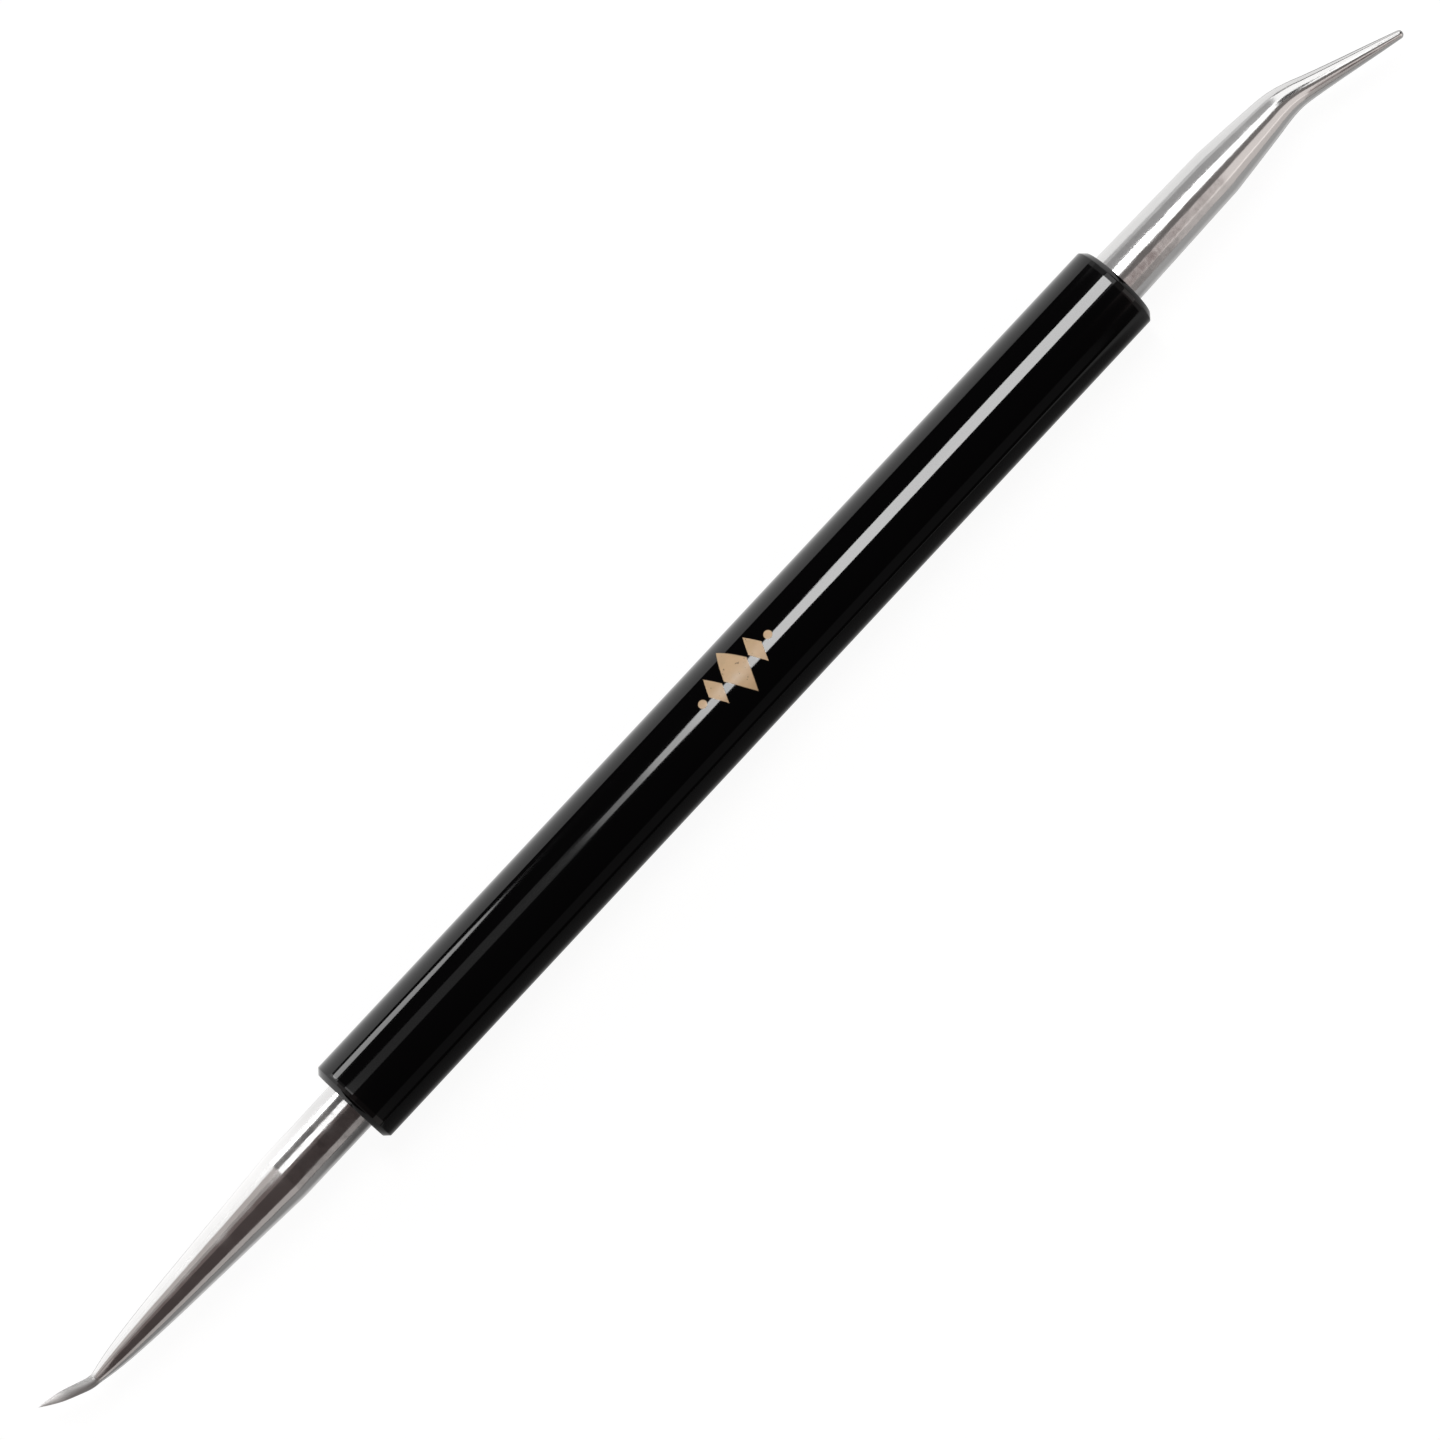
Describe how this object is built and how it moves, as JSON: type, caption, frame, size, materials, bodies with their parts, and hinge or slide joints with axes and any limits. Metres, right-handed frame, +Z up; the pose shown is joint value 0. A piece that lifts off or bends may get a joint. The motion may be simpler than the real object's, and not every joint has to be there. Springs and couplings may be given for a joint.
{
  "type": "leather modeling tool",
  "caption": "Double-ended leather modeling tool: a round gloss black handle with a bent round-pointed steel stylus in one end and a small bent steel leaf blade in the other.",
  "frame": {"origin": "on the table under the middle of the tool's overall length; the handle's axis lies half its diameter above it", "axes": "+X along the tool towards the curved stylus tip, +Y towards the side that the leaf blade bends to, +Z up; both bends lie level"},
  "size_m": [0.1752, 0.009, 0.009],
  "materials": {
    "handle_gloss_black": "gloss",
    "polished_steel": "polished",
    "cured_adhesive": "satin"
  },
  "bodies": {
    "root": {"handle": "handle_gloss_black", "curved_stylus_tip": "polished_steel", "leaf_blade_tip": "polished_steel", "curved_tip_adhesive": "cured_adhesive", "leaf_tip_adhesive": "cured_adhesive"}
  },
  "joints": []
}
